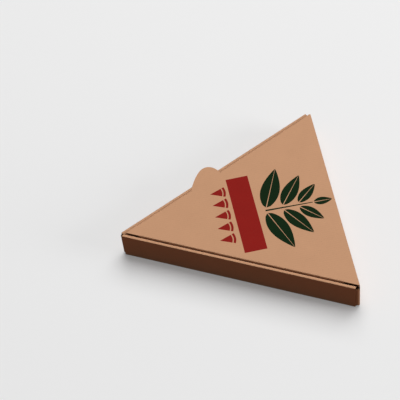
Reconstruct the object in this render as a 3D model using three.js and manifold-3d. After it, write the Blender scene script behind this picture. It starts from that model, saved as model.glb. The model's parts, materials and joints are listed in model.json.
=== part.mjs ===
// Wedge-shaped carton for one slice of pizza, folded from fine-flute board: a tray and a hinged lid.
// Millimetres, +Z up. X runs along the rear wall, +Y points to the rear wall, and the tip is at -Y.
// The origin is on the underside, at the centroid of the triangle.

import * as THREE from 'three';
import { mergeVertices } from 'three/addons/utils/BufferGeometryUtils.js';
import Module from 'manifold-3d';

const wasm = await Module();
wasm.setup();

// Driving dimensions of the closed carton
const SIDE_LENGTH = 250;
const REAR_LENGTH = 236;
const OVERALL_HEIGHT = 32;
const BOARD = 1.2;

// Folds and fits
const BASE_FOLD_RADIUS = 1.6;
const LID_FOLD_RADIUS = 1.6;
const CORNER_FOLD_RADIUS = 2;
const LAYER_GAP = 0.1;
const SEAM = 0.3;
const LID_SIDE_CLEARANCE = 0.5;

// Side walls: an outer panel rolled over into an inner one
const WALL_END_AT_TIP = 5;
const WALL_END_AT_REAR = 5.8;
const TIP_MITRE_GAP = 0.4;

// Corner flaps tucked between the layers of the side walls
const FLAP_DROP = 4.2;
const FLAP_LENGTH = 28;
const FLAP_OVERLAP = 7;

// Lock tabs of the inner panels, standing in slots of the base
const LOCK_TAB_LENGTH = 26;
const LOCK_FROM_TIP = 78;
const LOCK_FROM_REAR = 62;
const LOCK_ABOVE_FLOOR = 0.3;
const SLOT_CLEARANCE = 0.3;

// Lid: tuck flaps along both sides and a thumb tab on the left one
const TUCK_DEPTH = 20;
const TUCK_LEAN = 4;
const TUCK_START_AT_TIP = 22;
const TUCK_MITRE_AT_TIP = 16;
const TUCK_START_AT_REAR = 18;
const TUCK_MITRE_AT_REAR = 50;
const THUMB_TAB_WIDTH = 36.8;
const THUMB_TAB_CENTRE = 108.4;
const THUMB_TAB_REACH = 15.3;
const THUMB_TAB_SKEW = 7.1;

// Curve steps
const ARC_STEPS = 5;
const TAB_STEPS = 10;

// Worked out from the above
const TIP_HALF_ANGLE = Math.asin(REAR_LENGTH / 2 / SIDE_LENGTH);
const TIP_SIN = Math.sin(TIP_HALF_ANGLE);
const TIP_COS = Math.cos(TIP_HALF_ANGLE);
const DEPTH = SIDE_LENGTH * TIP_COS;
const REAR_Y = DEPTH / 3;
const TIP_Y = REAR_Y - DEPTH;
const LID_UNDERSIDE = OVERALL_HEIGHT - BOARD;
const WALL_TOP = LID_UNDERSIDE - SEAM;
const ROLL_RADIUS = (3 * BOARD + 2 * LAYER_GAP) / 2;
const ROLL_WIDTH = 2 * ROLL_RADIUS;
const LID_INSET = ROLL_WIDTH + LID_SIDE_CLEARANCE;
const LID_REAR_HALF = REAR_LENGTH / 2 - LID_INSET / TIP_COS;
const FLAP_TOP = OVERALL_HEIGHT - FLAP_DROP;
const FLAP_INSET = BOARD + LAYER_GAP;
const BASE_OVERLAP = BASE_FOLD_RADIUS + 3 * BOARD;
const LID_OVERLAP = LID_INSET + LID_FOLD_RADIUS + 2 * BOARD;
const TUCK_BOTTOM = LID_UNDERSIDE - TUCK_DEPTH;
const CUT_MARGIN = 2;

const LEFT = -1;
const RIGHT = 1;
const UP = new THREE.Vector3(0, 0, 1);

const kraftTray = new THREE.MeshStandardMaterial({ color: 0xb48a67, roughness: 0.85, metalness: 0 });
const kraftLid = new THREE.MeshStandardMaterial({ color: 0xc09473, roughness: 0.82, metalness: 0 });

// A closed solid from a geometry; a mirrored one has its triangles turned round.
function toSolid(geometry, mirrored = false) {
  geometry.deleteAttribute('normal');
  geometry.deleteAttribute('uv');
  const merged = mergeVertices(geometry, 1e-5);
  const triVerts = Uint32Array.from(merged.index.array);
  if (mirrored) {
    for (let i = 0; i < triVerts.length; i += 3) {
      [triVerts[i], triVerts[i + 1]] = [triVerts[i + 1], triVerts[i]];
    }
  }
  const vertProperties = Float32Array.from(merged.attributes.position.array);
  return new wasm.Manifold(new wasm.Mesh({ numProp: 3, vertProperties, triVerts }));
}

function toMesh(solid, name, material) {
  const { vertProperties, triVerts } = solid.getMesh();
  const geometry = new THREE.BufferGeometry();
  geometry.setAttribute('position', new THREE.BufferAttribute(vertProperties, 3));
  geometry.setIndex(new THREE.BufferAttribute(triVerts, 1));
  geometry.computeVertexNormals();
  const mesh = new THREE.Mesh(geometry, material);
  mesh.name = name;
  return mesh;
}

function extrude(shape, depth) {
  return new THREE.ExtrudeGeometry(shape, { depth, bevelEnabled: false, curveSegments: ARC_STEPS });
}

function outline(points) {
  return new THREE.Shape(points.map(([x, y]) => new THREE.Vector2(x, y)));
}

// A plan outline raised from one height to another.
function plate(shape, bottom, top) {
  const geometry = extrude(shape, top - bottom);
  geometry.translate(0, 0, bottom);
  return toSolid(geometry);
}

// A point on a side: its distance along from the tip, and outwards from the wall's outer face.
function sidePoint(along, outwards, side) {
  const x = side * (TIP_SIN * along + TIP_COS * outwards);
  const y = TIP_Y + TIP_COS * along - TIP_SIN * outwards;
  return [x, y];
}

// Moves a geometry that is built for the left side into place, and mirrors it for the right one.
function placeOnSide(geometry, xAxis, yAxis, zAxis, origin, side) {
  const place = new THREE.Matrix4().makeBasis(xAxis, yAxis, zAxis).setPosition(origin);
  geometry.applyMatrix4(place);
  if (side === RIGHT) {
    geometry.applyMatrix4(new THREE.Matrix4().makeScale(-1, 1, 1));
  }
  return toSolid(geometry, side === RIGHT);
}

// A section (outwards, up) run along a side wall.
function runAlongSide(section, from, to, side) {
  const outwards = new THREE.Vector3(-TIP_COS, -TIP_SIN, 0);
  const along = new THREE.Vector3(-TIP_SIN, TIP_COS, 0);
  const origin = new THREE.Vector3(...sidePoint(from, 0, LEFT), 0);
  return placeOnSide(extrude(section, to - from), outwards, UP, along, origin, side);
}

// An elevation (along, up) of a side wall, run inwards from one line to another.
function runAcrossSide(elevation, outer, inner, side) {
  const inwards = new THREE.Vector3(TIP_COS, TIP_SIN, 0);
  const along = new THREE.Vector3(-TIP_SIN, TIP_COS, 0);
  const origin = new THREE.Vector3(...sidePoint(0, outer, LEFT), 0);
  return placeOnSide(extrude(elevation, outer - inner), along, UP, inwards, origin, side);
}

// A section (outwards, up) run along the rear wall.
function runAlongRear(section, halfLength) {
  const geometry = extrude(section, 2 * halfLength);
  const outwards = new THREE.Vector3(0, 1, 0);
  const along = new THREE.Vector3(1, 0, 0);
  const place = new THREE.Matrix4().makeBasis(outwards, UP, along);
  geometry.applyMatrix4(place.setPosition(-halfLength, REAR_Y, 0));
  return toSolid(geometry);
}

function join(solids) {
  return solids.reduce((sum, solid) => sum.add(solid));
}

// Side wall section: base fold, outer panel, rolled top and inner panel.
function sideWallSection() {
  const rollCentre = WALL_TOP - ROLL_RADIUS;
  const innerBottom = BOARD + SEAM;
  const fold = BASE_FOLD_RADIUS;
  const section = new THREE.Shape();
  section.moveTo(-BASE_OVERLAP, 0);
  section.lineTo(-fold, 0);
  section.absarc(-fold, fold, fold, -Math.PI / 2, 0, false);
  section.lineTo(0, rollCentre);
  section.absarc(-ROLL_RADIUS, rollCentre, ROLL_RADIUS, 0, Math.PI, false);
  section.lineTo(-ROLL_WIDTH, innerBottom);
  section.lineTo(-ROLL_WIDTH + BOARD, innerBottom);
  section.lineTo(-ROLL_WIDTH + BOARD, rollCentre);
  section.absarc(-ROLL_RADIUS, rollCentre, ROLL_RADIUS - BOARD, Math.PI, 0, true);
  section.lineTo(-BOARD, fold);
  section.absarc(-fold, fold, fold - BOARD, 0, -Math.PI / 2, true);
  section.lineTo(-BASE_OVERLAP, BOARD);
  return section;
}

// Rear wall section: base fold and one single panel up to the lid's crease.
function rearWallSection() {
  const fold = BASE_FOLD_RADIUS;
  const section = new THREE.Shape();
  section.moveTo(-BASE_OVERLAP, 0);
  section.lineTo(-fold, 0);
  section.absarc(-fold, fold, fold, -Math.PI / 2, 0, false);
  section.lineTo(0, WALL_TOP);
  section.lineTo(-BOARD, WALL_TOP);
  section.lineTo(-BOARD, fold);
  section.absarc(-fold, fold, fold - BOARD, 0, -Math.PI / 2, true);
  section.lineTo(-BASE_OVERLAP, BOARD);
  return section;
}

function basePanel() {
  const rearEdge = REAR_Y - BASE_FOLD_RADIUS;
  const wallRearEnd = SIDE_LENGTH - WALL_END_AT_REAR;
  const points = [
    [-LID_REAR_HALF, rearEdge],
    sidePoint(wallRearEnd, -BASE_FOLD_RADIUS, LEFT),
    sidePoint(WALL_END_AT_TIP, -BASE_FOLD_RADIUS, LEFT),
    sidePoint(WALL_END_AT_TIP, -BASE_FOLD_RADIUS, RIGHT),
    sidePoint(wallRearEnd, -BASE_FOLD_RADIUS, RIGHT),
    [LID_REAR_HALF, rearEdge],
  ];
  return plate(outline(points), 0, BOARD);
}

// One side wall, cut off at the tip so that the two rolled tops meet in a mitre.
function sideWall(side) {
  const wall = runAlongSide(sideWallSection(), WALL_END_AT_TIP, SIDE_LENGTH - WALL_END_AT_REAR, side);
  const farSide = -side * REAR_LENGTH;
  const mitre = -side * -TIP_MITRE_GAP / 2;
  const beyond = [[mitre, TIP_Y], [farSide, TIP_Y], [farSide, REAR_Y], [mitre, REAR_Y]];
  return wall.subtract(plate(outline(beyond), -CUT_MARGIN, OVERALL_HEIGHT));
}

// Points of a round fold in plan, from the tangent point on one panel to that on the next.
function foldArc(centre, radius, firstNormal, secondNormal) {
  const start = Math.atan2(-firstNormal.y, -firstNormal.x);
  const end = Math.atan2(-secondNormal.y, -secondNormal.x);
  const turn = Math.atan2(Math.sin(end - start), Math.cos(end - start));
  const points = [];
  for (let step = 0; step <= ARC_STEPS; step += 1) {
    const angle = start + turn * step / ARC_STEPS;
    points.push(new THREE.Vector2(Math.cos(angle), Math.sin(angle)).multiplyScalar(radius).add(centre));
  }
  return points;
}

function inwardNormal(direction, inside) {
  const normal = new THREE.Vector2(-direction.y, direction.x);
  return normal.dot(inside) < 0 ? normal.negate() : normal;
}

// A corner flap: it leaves a panel, turns the corner on a round fold and lies between two layers.
// The corner is where the outer faces of the panel and of the flap would meet.
function cornerFlap(corner, alongPanel, alongFlap) {
  const inside = alongPanel.clone().add(alongFlap).normalize();
  const halfAngle = Math.acos(inside.dot(alongPanel));
  const centre = inside.clone().multiplyScalar(CORNER_FOLD_RADIUS / Math.sin(halfAngle)).add(corner);
  const panelNormal = inwardNormal(alongPanel, inside);
  const flapNormal = inwardNormal(alongFlap, inside);
  const onPanel = alongPanel.clone().multiplyScalar(FLAP_OVERLAP).add(corner);
  const onFlap = alongFlap.clone().multiplyScalar(FLAP_LENGTH).add(corner);
  const outer = foldArc(centre, CORNER_FOLD_RADIUS, panelNormal, flapNormal);
  const inner = foldArc(centre, CORNER_FOLD_RADIUS - BOARD, panelNormal, flapNormal).reverse();
  const flapEnd = flapNormal.clone().multiplyScalar(BOARD).add(onFlap);
  const panelEnd = panelNormal.clone().multiplyScalar(BOARD).add(onPanel);
  const shape = new THREE.Shape([onPanel, ...outer, onFlap, flapEnd, ...inner, panelEnd]);
  return plate(shape, BOARD + SEAM, FLAP_TOP);
}

// The rear wall's flap at one end, tucked into the side wall.
function rearFlap(side) {
  const corner = new THREE.Vector2(side * (REAR_LENGTH / 2 - FLAP_INSET / TIP_COS), REAR_Y);
  const alongRear = new THREE.Vector2(-side, 0);
  const alongSide = new THREE.Vector2(-side * TIP_SIN, -TIP_COS);
  return cornerFlap(corner, alongRear, alongSide);
}

// The left wall's flap at the tip, tucked into the right wall.
function tipFlap() {
  const backFromTip = FLAP_INSET / Math.sin(2 * TIP_HALF_ANGLE);
  const corner = new THREE.Vector2(...sidePoint(backFromTip, 0, LEFT));
  const alongLeft = new THREE.Vector2(-TIP_SIN, TIP_COS);
  const alongRight = new THREE.Vector2(TIP_SIN, TIP_COS);
  return cornerFlap(corner, alongLeft, alongRight);
}

function sideRectangle(from, to, outer, inner, side) {
  return outline([
    sidePoint(from, outer, side),
    sidePoint(to, outer, side),
    sidePoint(to, inner, side),
    sidePoint(from, inner, side),
  ]);
}

function lockPlaces() {
  return [LOCK_FROM_TIP, SIDE_LENGTH - LOCK_FROM_REAR];
}

function lockSlot(centre, side) {
  const reach = LOCK_TAB_LENGTH / 2 + SLOT_CLEARANCE;
  const outer = -ROLL_WIDTH + BOARD + SLOT_CLEARANCE;
  const inner = -ROLL_WIDTH - SLOT_CLEARANCE;
  const shape = sideRectangle(centre - reach, centre + reach, outer, inner, side);
  return plate(shape, -CUT_MARGIN, BOARD + SEAM / 2);
}

function lockTab(centre, side) {
  const reach = LOCK_TAB_LENGTH / 2;
  const shape = sideRectangle(centre - reach, centre + reach, -ROLL_WIDTH + BOARD, -ROLL_WIDTH, side);
  return plate(shape, LOCK_ABOVE_FLOOR, 2 * BOARD + SEAM);
}

function makeTray() {
  const rearWall = runAlongRear(rearWallSection(), LID_REAR_HALF);
  let tray = join([basePanel(), rearWall, sideWall(LEFT), sideWall(RIGHT)]);
  for (const side of [LEFT, RIGHT]) {
    tray = tray.add(rearFlap(side));
    for (const centre of lockPlaces()) {
      tray = tray.subtract(lockSlot(centre, side)).add(lockTab(centre, side));
    }
  }
  return toMesh(tray.add(tipFlap()), 'tray', kraftTray);
}

// Lid side section: the panel's edge, its fold and the tuck flap that leans inwards.
function tuckSection() {
  const lean = THREE.MathUtils.degToRad(TUCK_LEAN);
  const fold = LID_FOLD_RADIUS;
  const centreX = -LID_INSET - fold;
  const centreZ = OVERALL_HEIGHT - fold;
  const slope = Math.tan(lean);
  const innerFold = fold - BOARD;
  const outerEnd = [centreX + fold * Math.cos(lean), centreZ - fold * Math.sin(lean)];
  const innerEnd = [centreX + innerFold * Math.cos(lean), centreZ - innerFold * Math.sin(lean)];
  const section = new THREE.Shape();
  section.moveTo(-LID_OVERLAP, OVERALL_HEIGHT);
  section.lineTo(-LID_OVERLAP, LID_UNDERSIDE);
  section.lineTo(centreX, LID_UNDERSIDE);
  section.absarc(centreX, centreZ, innerFold, Math.PI / 2, -lean, true);
  section.lineTo(innerEnd[0] - slope * (innerEnd[1] - TUCK_BOTTOM), TUCK_BOTTOM);
  section.lineTo(outerEnd[0] - slope * (outerEnd[1] - TUCK_BOTTOM), TUCK_BOTTOM);
  section.lineTo(outerEnd[0], outerEnd[1]);
  section.absarc(centreX, centreZ, fold, -lean, Math.PI / 2, false);
  return section;
}

// What the fold's rounding takes off a square panel edge, as a section.
function edgeRounding(edge, radius) {
  const centre = OVERALL_HEIGHT - radius;
  const section = new THREE.Shape();
  section.moveTo(edge, centre);
  section.lineTo(edge + CUT_MARGIN, centre);
  section.lineTo(edge + CUT_MARGIN, OVERALL_HEIGHT + CUT_MARGIN);
  section.lineTo(edge - radius, OVERALL_HEIGHT + CUT_MARGIN);
  section.lineTo(edge - radius, OVERALL_HEIGHT);
  section.absarc(edge - radius, centre, radius, Math.PI / 2, 0, true);
  return section;
}

// The thumb tab's curve: distance along the side, and reach from the lid's edge.
function thumbTabCurve() {
  const half = THUMB_TAB_WIDTH / 2;
  const start = new THREE.Vector2(THUMB_TAB_CENTRE - half, 0);
  const crown = new THREE.Vector2(THUMB_TAB_CENTRE + THUMB_TAB_SKEW, THUMB_TAB_REACH);
  const end = new THREE.Vector2(THUMB_TAB_CENTRE + half, 0);
  const riseLength = half + THUMB_TAB_SKEW;
  const fallLength = half - THUMB_TAB_SKEW;
  const rise = new THREE.CubicBezierCurve(
    start,
    new THREE.Vector2(start.x + riseLength / 4, 0.425 * THUMB_TAB_REACH),
    new THREE.Vector2(crown.x - riseLength / 4, crown.y),
    crown,
  );
  const fall = new THREE.CubicBezierCurve(
    crown,
    new THREE.Vector2(crown.x + fallLength / 2, crown.y),
    new THREE.Vector2(end.x, 0.75 * THUMB_TAB_REACH),
    end,
  );
  return [...rise.getPoints(TAB_STEPS), ...fall.getPoints(TAB_STEPS).slice(1)];
}

function thumbTab() {
  const curve = thumbTabCurve();
  const rootInset = -LID_INSET - BOARD;
  const points = curve.map((point) => sidePoint(point.x, point.y - LID_INSET, LEFT));
  points.push(sidePoint(curve.at(-1).x, rootInset, LEFT));
  points.push(sidePoint(curve[0].x, rootInset, LEFT));
  return plate(outline(points), LID_UNDERSIDE, OVERALL_HEIGHT);
}

// The window that the thumb tab leaves in the tuck flap it was cut from.
function thumbTabWindow(inner) {
  const curve = thumbTabCurve();
  const points = curve.map((point) => [point.x, LID_UNDERSIDE - point.y]);
  return runAcrossSide(outline(points), -LID_INSET + CUT_MARGIN, inner, LEFT);
}

// The slanted cut at one end of a tuck flap: it starts at the fold and runs back to the flap's edge.
function tuckMitre(start, run, inner, side) {
  const beyond = start - Math.sign(run) * CUT_MARGIN;
  const points = [
    [start, LID_UNDERSIDE],
    [start + run, TUCK_BOTTOM],
    [start + run, TUCK_BOTTOM - CUT_MARGIN],
    [beyond, TUCK_BOTTOM - CUT_MARGIN],
    [beyond, LID_UNDERSIDE],
  ];
  return runAcrossSide(outline(points), -LID_INSET + CUT_MARGIN, inner, side);
}

function tuckFlap(side) {
  const from = TUCK_START_AT_TIP;
  const to = SIDE_LENGTH - TUCK_START_AT_REAR;
  const inner = -LID_OVERLAP - TUCK_DEPTH;
  const flap = runAlongSide(tuckSection(), from, to, side);
  const shortened = flap.subtract(tuckMitre(from, TUCK_MITRE_AT_TIP, inner, side));
  return shortened.subtract(tuckMitre(to, -TUCK_MITRE_AT_REAR, inner, side));
}

function lidPanel() {
  const tip = sidePoint(LID_INSET * TIP_COS / TIP_SIN, -LID_INSET, LEFT);
  const points = [[-LID_REAR_HALF, REAR_Y], tip, [LID_REAR_HALF, REAR_Y]];
  return plate(outline(points), LID_UNDERSIDE, OVERALL_HEIGHT);
}

// Rounds the panel's edge over each stretch where it folds down.
function roundPanelEdges(panel) {
  const sideEdge = edgeRounding(-LID_INSET, LID_FOLD_RADIUS);
  const rearEdge = edgeRounding(0, BOARD);
  const tuckEnd = SIDE_LENGTH - TUCK_START_AT_REAR;
  const tabStart = THUMB_TAB_CENTRE - THUMB_TAB_WIDTH / 2;
  const tabEnd = THUMB_TAB_CENTRE + THUMB_TAB_WIDTH / 2;
  return panel
    .subtract(runAlongRear(rearEdge, REAR_LENGTH / 2))
    .subtract(runAlongSide(sideEdge, TUCK_START_AT_TIP, tuckEnd, RIGHT))
    .subtract(runAlongSide(sideEdge, TUCK_START_AT_TIP, tabStart, LEFT))
    .subtract(runAlongSide(sideEdge, tabEnd, tuckEnd, LEFT));
}

function makeLid() {
  const inner = -LID_OVERLAP - TUCK_DEPTH;
  const leftFlap = tuckFlap(LEFT).subtract(thumbTabWindow(inner));
  const lid = join([roundPanelEdges(lidPanel()), leftFlap, tuckFlap(RIGHT), thumbTab()]);
  return toMesh(lid, 'lid', kraftLid);
}

const sliceBox = new THREE.Group();
sliceBox.add(makeTray(), makeLid());

export default sliceBox;
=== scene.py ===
"""Wedge-shaped carton for one slice of pizza, folded from fine-flute kraft board.

Each sheet is drawn flat as its die-cut blank, scored, given the thickness of its board and folded up.
Blank coordinates are metres: x and y in the sheet, and z the depth into the board from its outer liner.
"""

import json
import logging
import math
from dataclasses import dataclass
from enum import Enum
from functools import cached_property, partial, reduce
from typing import Callable, Iterable

import bmesh
import bpy
from mathutils import Matrix, Vector
from mathutils.geometry import interpolate_bezier

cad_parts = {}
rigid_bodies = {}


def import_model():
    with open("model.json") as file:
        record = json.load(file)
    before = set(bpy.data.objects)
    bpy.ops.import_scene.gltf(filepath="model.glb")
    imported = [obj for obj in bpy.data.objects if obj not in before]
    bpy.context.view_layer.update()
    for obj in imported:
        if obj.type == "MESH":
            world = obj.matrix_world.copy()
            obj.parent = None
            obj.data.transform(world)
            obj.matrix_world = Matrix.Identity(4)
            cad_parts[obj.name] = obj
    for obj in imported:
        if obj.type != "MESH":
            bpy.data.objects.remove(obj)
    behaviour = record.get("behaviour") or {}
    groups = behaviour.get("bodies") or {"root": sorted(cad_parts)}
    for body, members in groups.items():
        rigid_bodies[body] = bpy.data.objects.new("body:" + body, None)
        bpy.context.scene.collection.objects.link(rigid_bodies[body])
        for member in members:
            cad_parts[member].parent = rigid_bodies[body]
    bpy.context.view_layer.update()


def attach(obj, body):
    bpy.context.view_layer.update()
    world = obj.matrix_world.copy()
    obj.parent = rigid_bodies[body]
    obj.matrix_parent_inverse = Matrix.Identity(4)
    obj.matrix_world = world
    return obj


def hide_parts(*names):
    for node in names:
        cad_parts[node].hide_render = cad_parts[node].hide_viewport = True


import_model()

LOG = logging.getLogger("slice_box")
MM = 0.001
MICRON = 0.001 * MM
UPWARDS = (0, 0, 1)
Point = tuple[float, float]
Key = tuple[int, int]
Colour = tuple[float, float, float, float]
Vert = bmesh.types.BMVert
Face = bmesh.types.BMFace
Edges = list[bmesh.types.BMEdge]
Material = bpy.types.Material
Socket = bpy.types.NodeSocket


class Side(Enum):
    """The two long sides, by the sign of their x."""

    LEFT = -1
    RIGHT = 1


class Finish(Enum):
    """The finishes of a sheet, in the order of its material slots."""

    LINER = 0
    CUT_EDGE = 1
    RED_INK = 2
    GREEN_INK = 3


def srgb(red: float, green: float, blue: float) -> Colour:
    """Turns a colour given in sRGB bytes into a linear one.

    Args:
        red, green, blue: parts of the colour, 0 to 255.

    Returns:
        The linear colour with full alpha.
    """
    parts = [value / 255 for value in (red, green, blue)]
    linear = [p / 12.92 if p <= 0.04045 else ((p + 0.055) / 1.055) ** 2.4 for p in parts]
    return (*linear, 1.0)


def scaled_colour(colour: Colour, factor: float) -> Colour:
    """A colour made darker or paler, with full alpha."""
    return (*(min(1.0, factor * part) for part in colour[:3]), 1.0)


def add_object(name: str, data: bpy.types.ID) -> bpy.types.Object:
    """Makes an object and adds it to the scene.

    Args:
        name: the object's name.
        data: its mesh, lamp or camera.

    Returns:
        The object.
    """
    thing = bpy.data.objects.new(name, data)
    bpy.context.scene.collection.objects.link(thing)
    return thing


def whole(faces: list[Face]) -> list:
    """Lists faces with their edges and corners, each once and in a steady order.

    Args:
        faces: faces of one mesh.

    Returns:
        The faces, then their edges, then their vertices.
    """
    edges = dict.fromkeys(edge for face in faces for edge in face.edges)
    verts = dict.fromkeys(vert for face in faces for vert in face.verts)
    return [*faces, *edges, *verts]


@dataclass(frozen=True)
class CartonSizes:
    """The carton's driving sizes, in metres, as the frame has them."""

    side: float = 250 * MM
    rear: float = 236 * MM
    height: float = 32 * MM
    board: float = 1.2 * MM
    seam: float = 0.3 * MM
    layer_gap: float = 0.1 * MM
    base_fold: float = 1.6 * MM
    corner_fold: float = 2.0 * MM
    side_clearance: float = 0.5 * MM

    @property
    def sin_half(self) -> float:
        """Sine of half the angle at the tip."""
        return self.rear / 2 / self.side

    @property
    def cos_half(self) -> float:
        """Cosine of half the angle at the tip."""
        return math.sqrt(1 - self.sin_half**2)

    @property
    def half_angle(self) -> float:
        """Half the angle at the tip."""
        return math.asin(self.sin_half)

    @property
    def depth(self) -> float:
        """From the rear wall to the tip where the side walls' outer faces would meet."""
        return self.side * self.cos_half

    @property
    def rear_y(self) -> float:
        """The rear wall's outer face."""
        return self.depth / 3

    @property
    def tip_y(self) -> float:
        """The tip where the side walls' outer faces would meet."""
        return self.rear_y - self.depth

    @property
    def roll_radius(self) -> float:
        """Outer radius of a side wall's rolled top, which holds three layers."""
        return (3 * self.board + 2 * self.layer_gap) / 2

    @property
    def flap_inset(self) -> float:
        """How far the corner flaps lie inside the side walls' outer faces."""
        return self.board + self.layer_gap

    @property
    def lid_underside(self) -> float:
        """Height of the lid panel's inner face."""
        return self.height - self.board

    @property
    def wall_top(self) -> float:
        """Height of the walls."""
        return self.lid_underside - self.seam

    @property
    def lid_inset(self) -> float:
        """How far the lid's sides lie inside the side walls' outer faces."""
        return 2 * self.roll_radius + self.side_clearance

    def side_point(self, along: float, outwards: float, side: Side) -> Point:
        """A point in plan, by its distance along a side wall's outer face from the tip and out of it."""
        x = side.value * (self.sin_half * along + self.cos_half * outwards)
        return x, self.tip_y + self.cos_half * along - self.sin_half * outwards

    def side_outwards(self, side: Side) -> Vector:
        """The direction out of a side wall, in plan."""
        return Vector((side.value * self.cos_half, -self.sin_half))


@dataclass(frozen=True)
class Crease:
    """A fold towards the sheet's inner face, whose outer liner stays crisper than its inner one."""

    start: Vector
    away: Vector
    radius: float
    angle: float
    board: float
    crisp: float

    @property
    def run(self) -> float:
        """Length of flat sheet that goes into the fold."""
        return self.angle * (self.radius - self.board / 2)

    def reach(self, point: Vector) -> float:
        """How far a point of the blank lies beyond the fold's start."""
        return (point.xy - self.start).dot(self.away)

    def _outer_arm(self, turn: float) -> float:
        """From the fold's centre to its outer liner, which is straight but for its small round edge.

        Args:
            turn: angle turned so far.

        Returns:
            The distance.
        """
        half = self.angle / 2
        near = min(turn, self.angle - turn)
        inset = self.radius - self.crisp
        if inset <= 0:
            return self.radius
        if near <= math.atan(inset * math.tan(half) / self.radius):
            return self.radius / math.cos(near)
        centre = inset / math.cos(half)
        across = centre * math.sin(half - near)
        return centre * math.cos(half - near) + math.sqrt(self.crisp**2 - across**2)

    def _turned(self, point: Vector, turn: float, beyond: float) -> Vector:
        """Places a point after a given turn, and a straight stretch beyond it.

        Args:
            point: a point of the blank.
            turn: angle turned.
            beyond: straight distance beyond the fold.

        Returns:
            Its folded place.
        """
        swell = (self._outer_arm(turn) - self.radius) * (1 - point.z / self.board)
        arm = self.radius - point.z + swell
        forward = arm * math.sin(turn) + beyond * math.cos(turn)
        depth = self.radius - arm * math.cos(turn) + beyond * math.sin(turn)
        foot = point.xy - self.away * self.reach(point)
        return Vector((*(foot + self.away * forward), depth))

    def bend(self, point: Vector) -> Vector:
        """Folds a point that lies in the fold or on the panel beyond it.

        Args:
            point: a point of the blank.

        Returns:
            Its folded place.
        """
        reach = self.reach(point)
        if reach <= 0:
            return point.copy()
        share = min(reach / self.run, 1)
        return self._turned(point, share * self.angle, max(reach - self.run, 0))

    def swing(self, point: Vector) -> Vector:
        """Carries a point with the panel beyond the fold."""
        return self._turned(point, self.angle, self.reach(point) - self.run)


@dataclass(frozen=True)
class Panel:
    """One panel of a sheet, with the crease that joins it to its parent."""

    name: str
    crease: Crease | None = None
    parent: "Panel | None" = None
    steps: int = 10
    crowding: float = 1.3

    def scores(self) -> list[float]:
        """Distances from the crease's start of the lines on which it turns, closest at its middle."""
        shares = (2 * step / self.steps - 1 for step in range(1, self.steps + 1))
        return [self.crease.run * (1 + math.copysign(abs(s) ** self.crowding, s)) / 2 for s in shares]

    def fold_share(self, point: Vector) -> float:
        """How close a point lies to the middle of its crease, from 0 off the crease to 1.

        Args:
            point: a point of the blank.

        Returns:
            The share.
        """
        if self.crease is None:
            return 0.0
        return max(0.0, 1 - abs(2 * self.crease.reach(point) / self.crease.run - 1))

    def fold(self, point: Vector) -> Vector:
        """Folds a point of this panel through every crease between it and the sheet's root.

        Args:
            point: a point of the blank.

        Returns:
            Its place in the root panel's space.
        """
        if self.crease is None:
            return point.copy()
        folded = self.crease.bend(point)
        above = self.parent
        while above is not None and above.crease is not None:
            folded = above.crease.swing(folded)
            above = above.parent
        return folded


Loop = list[tuple[Vector, Panel]]


@dataclass(frozen=True)
class Flutes:
    """The corrugated paper between the liners, as it shows at a cut edge."""

    pitch: float = 2.6 * MM
    liner: float = 0.2 * MM
    paper: float = 0.16 * MM
    recess: float = 0.7 * MM
    step: float = 0.32 * MM
    first_inset: float = 0.05
    last_inset: float = 1.15

    def depth(self, x: float, board: float) -> float:
        """Depth of the wave's centre line at a place across the flutes."""
        swing = board / 2 - self.liner - self.paper / 2
        return board / 2 + swing * math.sin(math.tau * x / self.pitch)


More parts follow.
